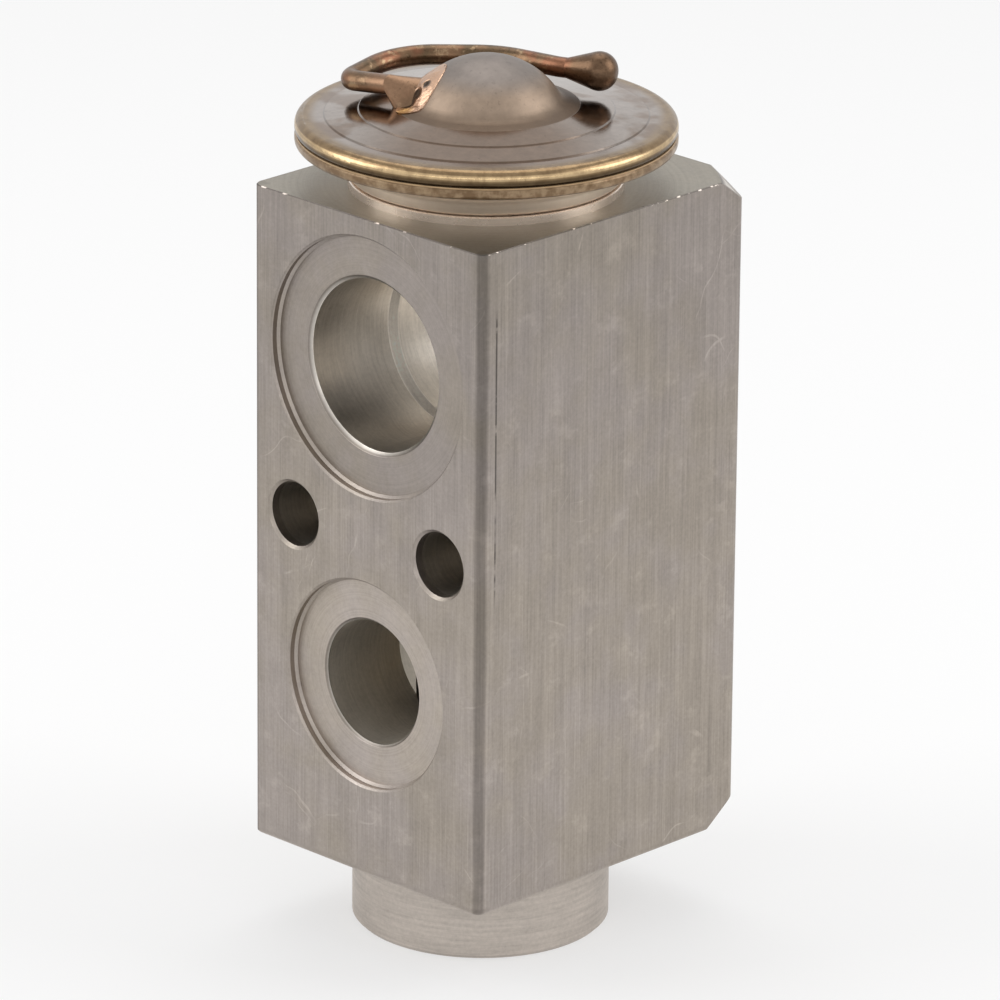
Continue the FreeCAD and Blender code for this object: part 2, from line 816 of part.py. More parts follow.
def make_tube_braze():
    """Thin oval film of braze on the dome that swells towards the tube's foot."""
    centre, outward, length_way = braze_frame()
    low = centre - outward * braze_depth - outward.cross(length_way) * braze_shift
    oval = oval_wire(low, braze_half_length, braze_half_width, length_way, outward)
    column = Part.Face(oval).extrude(outward * 2 * braze_depth)
    swell = Part.makeSphere(braze_swell_radius, centre + outward * (braze_swell - braze_swell_radius))
    bead = dome_body(braze_film).fuse(swell).common(column)
    return bead.cut(dome_body(press_clearance)).cut(tube_solid(press_clearance))


PIECES = {
    "valve_body": make_valve_body,
    "orifice_seat": make_orifice_seat,
    "valve_ball": make_valve_ball,
    "push_rod": make_push_rod,
    "sensing_rod": make_sensing_rod,
    "thrust_disc": make_thrust_disc,
    "rod_seal": make_rod_seal,
    "seal_retainer": make_seal_retainer,
    "ball_carrier": make_ball_carrier,
    "damper_spring": make_damper_spring,
    "superheat_spring": make_superheat_spring,
    "spring_seat": make_spring_seat,
    "adjusting_screw": make_adjusting_screw,
    "screw_seal": make_screw_seal,
    "head_socket": make_head_socket,
    "head_seal": make_head_seal,
    "head_lower_cover": make_head_lower_cover,
    "head_upper_cover": make_head_upper_cover,
    "head_diaphragm": make_head_diaphragm,
    "rim_weld": make_rim_weld,
    "charge_tube": make_charge_tube,
    "tube_braze": make_tube_braze,
}

os.makedirs("parts", exist_ok=True)
for node, make in PIECES.items():
    make().exportStep("parts/" + node + ".step")
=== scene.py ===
import bmesh
import bpy
import math
from mathutils import Matrix, Vector


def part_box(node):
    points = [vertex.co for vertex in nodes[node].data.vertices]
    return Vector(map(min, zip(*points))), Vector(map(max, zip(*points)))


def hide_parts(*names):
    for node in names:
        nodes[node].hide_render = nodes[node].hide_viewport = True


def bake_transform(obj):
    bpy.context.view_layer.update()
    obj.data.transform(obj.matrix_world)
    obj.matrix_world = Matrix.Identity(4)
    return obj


# A block-type expansion valve. Metres, in the same frame as the CAD model: the origin is the
# centre of the boss's bottom face, +Z goes up to the power head and -Y out of the front face.

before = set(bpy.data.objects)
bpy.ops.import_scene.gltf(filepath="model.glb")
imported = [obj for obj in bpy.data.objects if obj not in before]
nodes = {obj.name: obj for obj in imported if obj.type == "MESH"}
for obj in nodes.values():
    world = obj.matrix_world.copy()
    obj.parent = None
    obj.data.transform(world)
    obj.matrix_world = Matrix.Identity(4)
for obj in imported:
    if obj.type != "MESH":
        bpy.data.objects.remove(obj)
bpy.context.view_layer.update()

# Camera, fitted to the photograph
camera_yaw = math.radians(44.546)
camera_pitch = math.radians(19.8845)
camera_roll = math.radians(0.5045)
camera_place = Vector((0.54856, -0.55503, 0.32547))
camera_lens = 306.47
camera_sensor = 36.0
camera_nearest = 0.05
camera_furthest = 50.0

# Studio; each lamp has its azimuth and elevation in degrees, its width and height, and its radiance
floor_size = 6.0
floor_shade = 0.86
floor_roughness = 0.9
floor_white = 0.5
world_light = 0.62
lamp_distance = 0.55
lamp_target = Vector((0, 0, 0.045))
lamps = {
    "left_lamp": (-42.0, 28.0, 0.34, 0.42, 2.5),
    "right_lamp": (132.0, 30.0, 0.34, 0.42, 2.5),
    "top_lamp": (224.0, 66.0, 0.40, 0.40, 1.5),
    "front_lamp": (44.5, 20.0, 0.90, 0.07, 1.5),
}

# Places on the block that its material goes by, in millimetres. A pair says where a change along
# the named coordinate begins and where it is complete, or where a band lies.
suction_height = 60.6
inlet_height = 28.2
between_ports_z = (43.0, 43.4)
side_face_x = (15.3, 15.6)
front_face_y = (-16.0, -16.15)
back_face_y = (19.7, 19.9)
front_corner_x = (14.3, 14.5)
front_corner_y = (-14.8, -15.0)
above_boss_z = (9.0, 9.3)
boss_end_z = (8.9, 8.6)
boss_wall_z = (8.9, 8.5)
boss_wall_r = (12.0, 12.3)
within_z = (9.5, 75.0)
within_y = (-14.9, 18.7)
inside_sides_x = (15.3, 15.5)
inlet_bore_r = (7.2, 6.9)
recess_floor_y = (-15.3, -15.1)
recess_r = (12.9, 13.1)
mouth_y = (14.85, 15.15)
mouth_r = (9.4, 9.2)
socket_end_y = (3.5, 4.7)
top_face_z = (75.4, 75.5)
top_edge_z = (75.3, 75.5)
flaw_x = (15.6, 15.65)
flaw_y = (-14.34, -14.22)
flaw_whole_z = (52.0, 68.5)
flaw_broken_z = (43.0, 52.0)
drawn_shade_z = (24.0, 76.0)

# How far a face's normal points along an axis, from 0 to 1, in pairs as above
facing = (0.8, 0.95)
facing_up = (0.9, 0.98)
on_rounding = (0.10, 0.50)
on_top_edge = (0.30, 0.92)

# Places on the power head, in millimetres. Each braze pit has the radii where it starts to fade
# and where it ends.
lid_reflection_place = (8.5, -9.0, 83.0)
dome_r = (9.1, 8.9)
dome_foot_r = (6.6, 8.2)
dome_top_z = (85.6, 87.4)
lid_rim_r = (16.2, 17.4)
lid_underside_z = (81.35, 81.65)
rim_highlight_z = (81.72, 82.02)
ring_steps_r = ((12.28, 12.39), (15.58, 15.69))
bowl_rim_r = (17.0, 17.6)
bowl_rim_z = (79.6, 79.9)
tube_ball = (5.23, 10.11, 85.9)
tube_joint = (-6.2, -6.2, 86.2)
braze_low_end = (-3.3, -7.9, 83.8)
braze_pits = (((-3.7, -6.6, 84.7), 0.5, 0.9), ((-3.3, -6.2, 85.2), 0.4, 0.8),
              ((-2.7, -5.6, 86.3), 0.3, 0.6), ((-3.85, -6.9, 84.3), 0.4, 0.8))

# Colours in linear light. Where there are two, the material mixes them.
skin_colours = ((0.355, 0.312, 0.268), (0.352, 0.312, 0.286))
boss_colour = (0.50, 0.450, 0.405)
bore_colour = (0.66, 0.615, 0.555)
inlet_colour = (0.50, 0.46, 0.40)
step_light_colour = (0.95, 0.90, 0.83)
top_face_shade_colour = (0.275, 0.250, 0.210)
lid_colours = ((0.320, 0.280, 0.252), (0.200, 0.142, 0.105))
dome_colours = ((0.285, 0.218, 0.165), (0.205, 0.178, 0.160))
dome_foot_shade_colour = (0.120, 0.085, 0.060)
lid_rim_colours = ((0.29, 0.200, 0.110), (0.165, 0.108, 0.058))
rim_highlight_colour = (0.68, 0.50, 0.285)
bowl_light_colours = ((0.94, 0.83, 0.71), (0.80, 0.68, 0.56))
bowl_rim_colours = ((0.32, 0.225, 0.135), (0.17, 0.105, 0.055))
weld_colours = ((0.30, 0.19, 0.095), (0.52, 0.36, 0.20))
socket_light_colours = ((0.86, 0.76, 0.67), (0.58, 0.48, 0.40))
tube_colours = ((0.100, 0.068, 0.040), (0.175, 0.105, 0.062))
tube_red = (0.20, 0.085, 0.050)
tube_rubbed = (0.29, 0.20, 0.12)
ball_colours = ((0.085, 0.048, 0.028), (0.160, 0.102, 0.064))
joint_colours = ((0.165, 0.092, 0.055), (0.28, 0.175, 0.110))
braze_colours = ((0.42, 0.25, 0.16), (0.62, 0.43, 0.31))
braze_gold = (0.55, 0.33, 0.13)
braze_pit_colour = (0.05, 0.032, 0.02)
rubber_colours = ((0.010, 0.022, 0.016), (0.022, 0.040, 0.030))
steel_colours = ((0.50, 0.49, 0.48), (0.40, 0.39, 0.38))
brass_colours = ((0.60, 0.47, 0.27), (0.48, 0.36, 0.20))
alloy_colours = ((0.58, 0.57, 0.56), (0.48, 0.47, 0.46))

# How noise is scaled along x, y and z, so that it draws out into lines
upright_lines = (1, 1, 0.02)
upright_bands = (1, 1, 0.03)
upright_breaks = (0.1, 0.1, 1)
level_lines = (0.05, 0.05, 1)
level_bands = (0.06, 0.06, 1)
bore_rings = (0.05, 1, 0.05)

# Scratches: each run's angle in degrees and its offset in the noise, then how they are drawn out
scratch_runs = ((20.0, 0.0), (-35.0, 40.0), (68.0, 90.0))
scratch_bend = 3.0
scratch_stretch = 0.05
scratch_fineness = 1.6

# The superheat spring
weld_distance = 1e-7
sharp_angle = math.radians(35)


def direction(azimuth, elevation):
    """Unit vector towards a place round the object; azimuth 0 is -Y and 90 is +X."""
    a, e = math.radians(azimuth), math.radians(elevation)
    return Vector((math.sin(a) * math.cos(e), -math.cos(a) * math.cos(e), math.sin(e)))


def make_camera():
    data = bpy.data.cameras.new("camera")
    data.lens = camera_lens
    data.sensor_width = camera_sensor
    data.clip_start = camera_nearest
    data.clip_end = camera_furthest
    camera = bpy.data.objects.new("camera", data)
    bpy.context.scene.collection.objects.link(camera)
    back = direction(math.degrees(camera_yaw), math.degrees(camera_pitch))
    right = Vector((math.cos(camera_yaw), math.sin(camera_yaw), 0))
    up = back.cross(right)
    turned_right = right * math.cos(camera_roll) + up * math.sin(camera_roll)
    turned_up = up * math.cos(camera_roll) - right * math.sin(camera_roll)
    turn = Matrix((turned_right, turned_up, back)).transposed()
    camera.matrix_world = Matrix.Translation(camera_place) @ turn.to_4x4()
    bpy.context.scene.camera = camera


class Graph:
    """A material's node tree with one Principled shader, and short calls for making nodes."""

    def __init__(self, name):
        self.material = bpy.data.materials.new(name)
        self.material.use_nodes = True
        self.tree = self.material.node_tree
        self.shader = self.tree.nodes["Principled BSDF"]
        metres = self.add("ShaderNodeTexCoord").outputs["Object"]
        self.place = self.vector("MULTIPLY", metres, (1000, 1000, 1000))
        self.x, self.y, self.z = self.split(self.place)

    def add(self, kind, **settings):
        node = self.tree.nodes.new(kind)
        for key, value in settings.items():
            setattr(node, key, value)
        return node

    def join(self, value, socket):
        if isinstance(value, bpy.types.NodeSocket):
            self.tree.links.new(value, socket)
        else:
            socket.default_value = value

    def math(self, operation, *values):
        node = self.add("ShaderNodeMath", operation=operation)
        for value, socket in zip(values, node.inputs):
            self.join(value, socket)
        return node.outputs[0]

    def times(self, first, *others):
        """Product of two values or more."""
        for value in others:
            first = self.math("MULTIPLY", first, value)
        return first

    def most(self, first, *others):
        """Largest of two values or more."""
        for value in others:
            first = self.math("MAXIMUM", first, value)
        return first

    def plus(self, first, *others):
        """Sum of two values or more."""
        for value in others:
            first = self.math("ADD", first, value)
        return first

    def vector(self, operation, *values):
        node = self.add("ShaderNodeVectorMath", operation=operation)
        for value, socket in zip(values, node.inputs):
            self.join(value, socket)
        return node.outputs["Vector"]

    def split(self, value):
        node = self.add("ShaderNodeSeparateXYZ")
        self.join(value, node.inputs[0])
        return node.outputs

    def combine(self, x, y, z):
        node = self.add("ShaderNodeCombineXYZ")
        for value, socket in zip((x, y, z), node.inputs):
            self.join(value, socket)
        return node.outputs[0]

    def distance(self, a, b):
        """Length of the two-part vector (a, b)."""
        return self.math("SQRT", self.plus(self.times(a, a), self.times(b, b)))

    def near(self, place, inner, outer):
        """1 within inner of a place, and 0 further off than outer."""
        node = self.add("ShaderNodeVectorMath", operation="DISTANCE")
        self.join(self.place, node.inputs[0])
        node.inputs[1].default_value = place
        return self.step(node.outputs["Value"], inner, outer, 1.0, 0.0)

    def step(self, value, begin, end, bottom=0.0, top=1.0):
        """Smooth step of value, which is bottom up to begin and top from end on."""
        node = self.add("ShaderNodeMapRange", interpolation_type="SMOOTHSTEP")
        for item, socket in zip((value, begin, end, bottom, top), node.inputs):
            self.join(item, socket)
        return node.outputs[0]

    def band(self, value, low, high, edge):
        """1 between low and high, and 0 further off than edge."""
        return self.times(self.step(value, low - edge, low), self.step(value, high, high + edge, 1.0, 0.0))

    def noise(self, scale, detail=2.0, stretch=(1, 1, 1), roughness=0.5, place=None):
        node = self.add("ShaderNodeTexNoise")
        self.join(self.vector("MULTIPLY", place or self.place, stretch), node.inputs["Vector"])
        node.inputs["Scale"].default_value = scale
        node.inputs["Detail"].default_value = detail
        node.inputs["Roughness"].default_value = roughness
        return node.outputs["Fac"]

    def mix(self, factor, a, b):
        """Colour a where factor is 0, and b where it is 1."""
        node = self.add("ShaderNodeMix", data_type="RGBA")
        self.join(factor, node.inputs["Factor"])
        for value, socket in ((a, node.inputs[6]), (b, node.inputs[7])):
            self.join(value if isinstance(value, bpy.types.NodeSocket) else (*value, 1.0), socket)
        return node.outputs[2]

    def shade(self, colour, factor):
        """Colour times a factor that varies."""
        node = self.add("ShaderNodeMix", data_type="RGBA", blend_type="MULTIPLY")
        node.inputs["Factor"].default_value = 1.0
        self.join(colour, node.inputs[6])
        self.join(self.combine(factor, factor, factor), node.inputs[7])
        return node.outputs[2]

    def scaled(self, value, low, high):
        """A value of 0 to 1 stretched to low to high."""
        return self.math("MULTIPLY_ADD", value, high - low, low)

    def choose(self, mask, a, b):
        """Value a where mask is 0, and b where it is 1."""
        rest = self.math("SUBTRACT", 1.0, mask)
        return self.plus(self.times(a, rest), self.times(b, mask))

    def bump(self, height, strength, distance):
        node = self.add("ShaderNodeBump")
        node.inputs["Strength"].default_value = strength
        node.inputs["Distance"].default_value = distance
        self.join(height, node.inputs["Height"])
        return node.outputs[0]

    def finish(self, colour, roughness, normal, metallic=1.0):
        """Joins the results to the shader."""
        self.shader.inputs["Metallic"].default_value = metallic
        self.join(colour, self.shader.inputs["Base Color"])
        self.join(roughness, self.shader.inputs["Roughness"])
        self.join(normal, self.shader.inputs["Normal"])
        return self.material


class BlockGraph(Graph):
    """The block's node tree, with a mask for each kind of surface: 1 on it and 0 off it."""

    def __init__(self, name):
        super().__init__(name)
        normal = self.add("ShaderNodeNewGeometry").outputs["Normal"]
        self.nx, self.ny, self.nz = (self.math("ABSOLUTE", part) for part in self.split(normal))
        self.side = self.math("ABSOLUTE", self.x)
        self.reach = self.math("ABSOLUTE", self.y)
        self.axis_ring = self.distance(self.x, self.y)
        suction_ring = self.distance(self.x, self.math("SUBTRACT", self.z, suction_height))
        self.inlet_ring = self.distance(self.x, self.math("SUBTRACT", self.z, inlet_height))
        self.upper = self.step(self.z, *between_ports_z)
        self.port_ring = self.choose(self.upper, self.inlet_ring, suction_ring)
        self.flat = self.step(self.ny, *facing)
        self.front_corner = self.times(
            self.step(self.side, *front_corner_x), self.step(self.y, *front_corner_y))
        faces = self.most(self.step(self.side, *side_face_x), self.step(self.y, *front_face_y),
                          self.step(self.y, *back_face_y), self.front_corner)
        self.drawn = self.times(faces, self.step(self.z, *above_boss_z))
        self.boss = self.times(
            self.step(self.z, *boss_wall_z), self.step(self.axis_ring, *boss_wall_r))
        within = self.times(self.band(self.z, *within_z, edge=0.3), self.band(self.y, *within_y, edge=0.2))
        self.bore = self.times(
            within, self.math("SUBTRACT", 1.0, self.step(self.side, *inside_sides_x)))
        self.inlet = self.times(self.step(self.inlet_ring, *inlet_bore_r), self.bore)
        self.recess = self.times(self.band(self.y, *recess_floor_y, edge=0.05), self.flat,
                                 self.step(self.port_ring, *recess_r, 1.0, 0.0))
        # The ports' mouth chamfers, where shade is painted.
        self.mouth = self.times(
            self.band(self.reach, *mouth_y, edge=0.03), self.step(self.port_ring, *mouth_r))
        # The small step at the end of each suction socket, where light is painted over its shade.
        self.step_light = self.times(self.band(self.reach, *socket_end_y, edge=0.1), self.bore, self.upper)
        # The roundings at the front corners, where a dark reflection is painted.
        self.corner = self.times(
            self.step(self.math("MINIMUM", self.nx, self.ny), *on_rounding), self.front_corner)
        # The sharp top edge, where shade and a few glints are painted.
        self.top_edge = self.times(
            self.band(self.nz, *on_top_edge, edge=0.04), self.step(self.z, *top_edge_z))
        # The top face, where a darker, browner shade is painted.
        self.top_face_shade = self.times(
            self.step(self.nz, *facing_up), self.step(self.z, *top_face_z))

    def tool_marks(self):
        """Lines up and down the drawn faces, and rings round each turned face's own axis."""
        drawn_lines = self.noise(5.0, stretch=upright_lines, roughness=0.6)
        face_rings = self.noise(4.0, detail=3.0, roughness=0.7, place=self.combine(self.port_ring, 0.0, 0.0))
        end_rings = self.noise(3.0, detail=3.0, roughness=0.7, place=self.combine(self.axis_ring, 0.0, 0.0))
        bore_lines = self.noise(3.0, detail=3.0, stretch=bore_rings, roughness=0.7)
        boss_lines = self.noise(3.0, detail=3.0, stretch=level_lines, roughness=0.7)
        lines = self.choose(self.flat, bore_lines, face_rings)
        lines = self.choose(self.step(self.z, *boss_end_z), lines, boss_lines)
        lines = self.choose(self.step(self.nz, *facing), lines, end_rings)
        return self.choose(self.drawn, lines, drawn_lines)

    def scratches(self):
        """Thin bent scratches, broken up, over upright faces."""
        along = self.plus(self.x, self.y)
        bend = self.scaled(self.noise(0.12), -scratch_bend, scratch_bend)
        marks = []
        for angle, offset in scratch_runs:
            c, s = math.cos(math.radians(angle)), math.sin(math.radians(angle))
            u = self.plus(self.times(along, c), self.times(self.z, s))
            v = self.math("SUBTRACT", self.times(self.z, c), self.times(along, s))
            v = self.plus(v, bend)
            place = self.combine(self.times(u, scratch_stretch), self.times(v, scratch_fineness), offset)
            marks.append(self.step(self.noise(1.0, detail=1.0, place=place), 0.70, 0.76))
        return self.times(self.most(*marks), self.step(self.noise(0.22), 0.48, 0.62))

    def flaw(self):
        """A dark line beside the right front corner, whole above and broken below."""
        line = self.times(self.band(self.y, *flaw_y, edge=0.08), self.step(self.x, *flaw_x))
        gaps = self.step(self.noise(0.22, detail=3.0, stretch=upright_breaks), 0.46, 0.54)
        broken = self.times(self.band(self.z, *flaw_broken_z, edge=4.0), gaps)
        length = self.most(self.band(self.z, *flaw_whole_z, edge=1.5), broken)
        short_gaps = self.step(self.noise(0.8, detail=3.0, stretch=upright_breaks), 0.32, 0.44)
        return self.times(line, length, short_gaps)

    def tone(self, lines, grain, mottle, cloud):
        """Light and dark over the whole block, as a factor near 1."""
        broad_lines = self.noise(0.9, detail=3.0, stretch=upright_bands, roughness=0.6)
        tone = self.plus(self.scaled(lines, 0.74, 1.24), self.scaled(grain, -0.18, 0.18))
        tone = self.plus(tone, self.times(self.scaled(broad_lines, -0.16, 0.16), self.drawn))
        tone = self.plus(tone, self.scaled(mottle, -0.10, 0.10), self.scaled(cloud, -0.10, 0.10))
        scuffs = self.step(self.noise(0.30, detail=5.0, stretch=(1, 1, 1.3), roughness=0.65), 0.54, 0.72)
        marks = self.plus(self.times(self.scratches(), 0.26), self.times(scuffs, 0.16))
        tone = self.plus(tone, self.times(marks, self.drawn))
        # The drawn faces are painted darker towards their upper end, a painted shade.
        painted_top_shade = self.step(self.z, *drawn_shade_z, 1.04, 0.82)
        tone = self.times(tone, self.choose(self.drawn, 1.0, painted_top_shade))
        # The roundings at the front corners are painted dark, a painted reflection, and a flaw runs beside
        # the right one.
        tone = self.times(tone, self.scaled(self.corner, 1.0, 0.68), self.scaled(self.flaw(), 1.0, 0.35))
        # The sharp top edge is painted darker, a painted shade that hides its highlight, but for a few
        # painted glints.
        painted_glints = self.step(self.noise(1.1), 0.60, 0.66)
        tone = self.times(tone, self.choose(self.top_edge, 1.0, self.scaled(painted_glints, 0.45, 2.2)))
        # The inlet's recess is lighter than the suction port's, and the ports' mouth chamfers are painted
        # darker, a painted shade that hides their highlight.
        tone = self.times(tone, self.choose(self.recess, 1.0, self.choose(self.upper, 1.22, 0.88)))
        return self.times(tone, self.choose(self.mouth, 1.0, 0.70))


def block_metal():
    """Drawn aluminium with turned ports, ends and boss."""
    g = BlockGraph("block_aluminium")
    lines = g.tool_marks()
    grain = g.noise(2.6, detail=3.0, roughness=0.7)
    mottle = g.noise(0.35, detail=3.0)
    cloud = g.noise(0.10, detail=3.0, roughness=0.6)
    colour = g.mix(g.step(cloud, 0.35, 0.65), *skin_colours)
    # The boss and the bores are freshly cut and brighter than the skin. The small step at the end of each
    # suction socket is painted near white, a painted light over its shade, and the top face under the head
    # is painted darker and browner, a painted shade.
    for surface, surface_colour in ((g.boss, boss_colour), (g.bore, bore_colour), (g.inlet, inlet_colour),
                                    (g.step_light, step_light_colour), (g.top_face_shade, top_face_shade_colour)):
        colour = g.mix(surface, colour, surface_colour)
    colour = g.shade(colour, g.tone(lines, grain, mottle, cloud))
    roughness = g.math("SUBTRACT", g.scaled(mottle, 0.34, 0.46), g.times(g.bore, 0.06))
    roughness = g.plus(roughness, g.times(g.boss, 0.14))
    roughness = g.plus(roughness, g.times(g.most(g.step_light, g.corner, g.inlet), 0.25))
    height = g.plus(lines, g.times(grain, 0.5))
    relief = g.bump(height, strength=0.35, distance=0.00002)
    return g.finish(colour, roughness, relief)


def cover_metal():
    """Pressed stainless cover: soft mirror on its rings, satin on its dome, gold-brown on its rim."""
    g = Graph("head_steel_upper")
    r = g.distance(g.x, g.y)
    mottle = g.noise(0.9, detail=4.0, roughness=0.65)
    cloud = g.noise(0.16, detail=3.0)
    grain = g.noise(7.0)
    specks = g.step(g.noise(2.4, detail=3.0, roughness=0.75), 0.60, 0.68)
    dome = g.step(r, *dome_r)
    rim = g.step(r, *lid_rim_r)
    # The lid is painted brown round one place on its front right and in cloudy patches, a painted
    # reflection.
    lid_reflection = g.most(g.near(lid_reflection_place, inner=6.0, outer=15.0), g.step(cloud, 0.50, 0.62))
    lid_colour = g.mix(lid_reflection, *lid_colours)
    # Painted shade: the dome is greyer and darker at its top than lower down.
    dome_colour = g.mix(g.step(g.z, *dome_top_z), *dome_colours)
    # Painted shade: the dome's foot is painted dark brown in the crease round it.
    dome_colour = g.mix(g.step(r, *dome_foot_r), dome_colour, dome_foot_shade_colour)
    # The rim is painted pale along one line, a painted highlight, and painted dark below it, a painted
    # shade.
    gold = g.mix(g.step(mottle, 0.30, 0.70), *lid_rim_colours)
    rubbed = g.times(g.band(g.z, *rim_highlight_z, edge=0.14), g.step(mottle, 0.25, 0.65, 1.0, 0.45))
    gold = g.mix(rubbed, gold, rim_highlight_colour)
    colour = g.mix(rim, g.mix(dome, lid_colour, dome_colour), gold)
    # Painted shade: the steps between the lid's rings are darker, and rougher.
    ring_step_shade = g.most(*(g.band(r, low, high, edge=0.03) for low, high in ring_steps_r))
    tone = g.times(g.scaled(mottle, 0.72, 1.28), g.scaled(specks, 1.0, 0.80), g.scaled(ring_step_shade, 1.0, 0.68))
    # Painted shade: the rim below its painted highlight is darkened.
    tone = g.times(tone, g.choose(rim, 1.0, g.step(g.z, *lid_underside_z, 0.42, 1.0)))
    roughness = g.plus(g.scaled(dome, 0.10, 0.48), g.scaled(mottle, -0.03, 0.06))
    roughness = g.most(roughness, g.times(g.most(ring_step_shade, rim), 0.24))
    relief = g.bump(g.plus(grain, mottle), strength=0.14, distance=0.00003)
    return g.finish(g.shade(colour, tone), roughness, relief)


def bowl_metal():
    """Pressed stainless bowl under the head, with a gold-brown edge; its steel is painted near white, a
    painted light in the rim's shade.
    """
    g = Graph("head_steel_lower")
    mottle = g.noise(0.9, detail=4.0, roughness=0.65)
    around = g.noise(2.2, detail=3.0, stretch=level_bands, roughness=0.6)
    rim = g.most(g.step(g.distance(g.x, g.y), *bowl_rim_r), g.step(g.z, *bowl_rim_z))
    steel = g.mix(mottle, *bowl_light_colours)
    gold = g.mix(g.step(mottle, 0.35, 0.65), *bowl_rim_colours)
    colour = g.shade(g.mix(rim, steel, gold), g.scaled(around, 0.80, 1.16))
    roughness = g.plus(g.scaled(mottle, 0.26, 0.42), g.times(rim, -0.04))
    relief = g.bump(around, strength=0.15, distance=0.00002)
    return g.finish(colour, roughness, relief, metallic=0.72)


def seam_metal():
    """Weld seam round the rim, dull and brown."""
    g = Graph("rim_weld_steel")
    mottle = g.noise(1.4, detail=4.0)
    colour = g.mix(mottle, *weld_colours)
    roughness = g.scaled(mottle, 0.35, 0.55)
    relief = g.bump(mottle, strength=0.3, distance=0.00004)
    return g.finish(colour, roughness, relief, metallic=0.4)


def socket_metal():
    """Turned steel socket, painted near white, a painted light in the head's shade, with a brown tint in
    places.
    """
    g = Graph("socket_steel")
    mottle = g.noise(0.5, detail=3.0)
    around = g.noise(3.0, detail=3.0, stretch=level_lines, roughness=0.6)
    colour = g.shade(g.mix(mottle, *socket_light_colours), g.scaled(around, 0.82, 1.15))
    roughness = g.scaled(mottle, 0.20, 0.34)
    relief = g.bump(around, strength=0.2, distance=0.00002)
    return g.finish(colour, roughness, relief, metallic=0.8)


def copper_metal():
    """Copper tube, brown with age, redder in places and brassy where it was rubbed."""
    g = Graph("tube_copper")
    patch = g.noise(0.30, detail=4.0, roughness=0.6)
    rubbed = g.step(g.noise(0.7, detail=4.0, roughness=0.7), 0.54, 0.68)
    red = g.step(g.noise(0.22, detail=3.0), 0.50, 0.60)
    grain = g.noise(4.0, detail=4.0, roughness=0.7)
    spots = g.step(g.noise(1.9, detail=3.0, roughness=0.7), 0.60, 0.68)
    colour = g.mix(g.step(patch, 0.38, 0.60), *tube_colours)
    colour = g.mix(g.times(red, 0.7), colour, tube_red)
    colour = g.mix(rubbed, colour, tube_rubbed)
    ball = g.near(tube_ball, inner=1.9, outer=3.2)
    colour = g.mix(ball, colour, g.mix(grain, *ball_colours))
    joint = g.near(tube_joint, inner=1.5, outer=5.0)
    colour = g.mix(joint, colour, g.mix(patch, *joint_colours))
    colour = g.shade(colour, g.times(g.scaled(grain, 0.70, 1.30), g.scaled(spots, 1.0, 0.60)))
    roughness = g.scaled(grain, 0.20, 0.44)
    relief = g.bump(grain, strength=0.35, distance=0.00005)
    return g.finish(colour, roughness, relief)


def braze_metal():
    """Brazing metal: pinkish gold, flowed and lumpy, with dark pits."""
    g = Graph("braze_metal")
    lumps = g.noise(0.9, detail=3.0)
    pits = g.step(g.noise(1.3, detail=3.0, roughness=0.7), 0.62, 0.68)
    for place, inner, outer in braze_pits:
        pits = g.most(pits, g.near(place, inner, outer))
    colour = g.mix(lumps, *braze_colours)
    colour = g.mix(g.near(braze_low_end, inner=0.3, outer=1.3), colour, braze_gold)
    colour = g.mix(pits, colour, braze_pit_colour)
    height = g.math("SUBTRACT", lumps, g.times(pits, 0.8))
    roughness = g.scaled(lumps, 0.24, 0.40)
    relief = g.bump(height, strength=0.8, distance=0.0003)
    return g.finish(colour, roughness, relief)


def turned_metal(name, colours, smoothest, roughest):
    """A turned or drawn metal whose fine lines run round the valve's axis."""
    g = Graph(name)
    mottle = g.noise(0.6, detail=3.0)
    around = g.noise(2.6, detail=3.0, stretch=level_lines, roughness=0.65)
    colour = g.shade(g.mix(mottle, *colours), g.scaled(around, 0.85, 1.15))
    roughness = g.scaled(mottle, smoothest, roughest)
    relief = g.bump(around, strength=0.3, distance=0.00002)
    return g.finish(colour, roughness, relief)


def seal_rubber():
    """Dark green seal rubber with a faint grain."""
    g = Graph("seal_rubber")
    grain = g.noise(4.0, detail=3.0)
    colour = g.mix(grain, *rubber_colours)
    roughness = g.scaled(grain, 0.45, 0.65)
    relief = g.bump(grain, strength=0.2, distance=0.00003)
    return g.finish(colour, roughness, relief, metallic=0.0)


def dress():
    """Gives every CAD node its material."""
    steel = turned_metal("inner_steel", steel_colours, smoothest=0.22, roughest=0.36)
    brass = turned_metal("inner_brass", brass_colours, smoothest=0.24, roughest=0.40)
    alloy = turned_metal("rod_aluminium", alloy_colours, smoothest=0.28, roughest=0.42)
    rubber = seal_rubber()
    chosen = {
        "valve_body": block_metal(),
        "head_upper_cover": cover_metal(),
        "head_lower_cover": bowl_metal(),
        "rim_weld": seam_metal(),
        "head_socket": socket_metal(),
        "charge_tube": copper_metal(),
        "tube_braze": braze_metal(),
        "sensing_rod": alloy,
    }
    for name in ("orifice_seat", "ball_carrier", "spring_seat", "adjusting_screw"):
        chosen[name] = brass
    for name in ("head_seal", "rod_seal", "screw_seal"):
        chosen[name] = rubber
    for name, node in nodes.items():
        node.data.materials.clear()
        node.data.materials.append(chosen.get(name, steel))


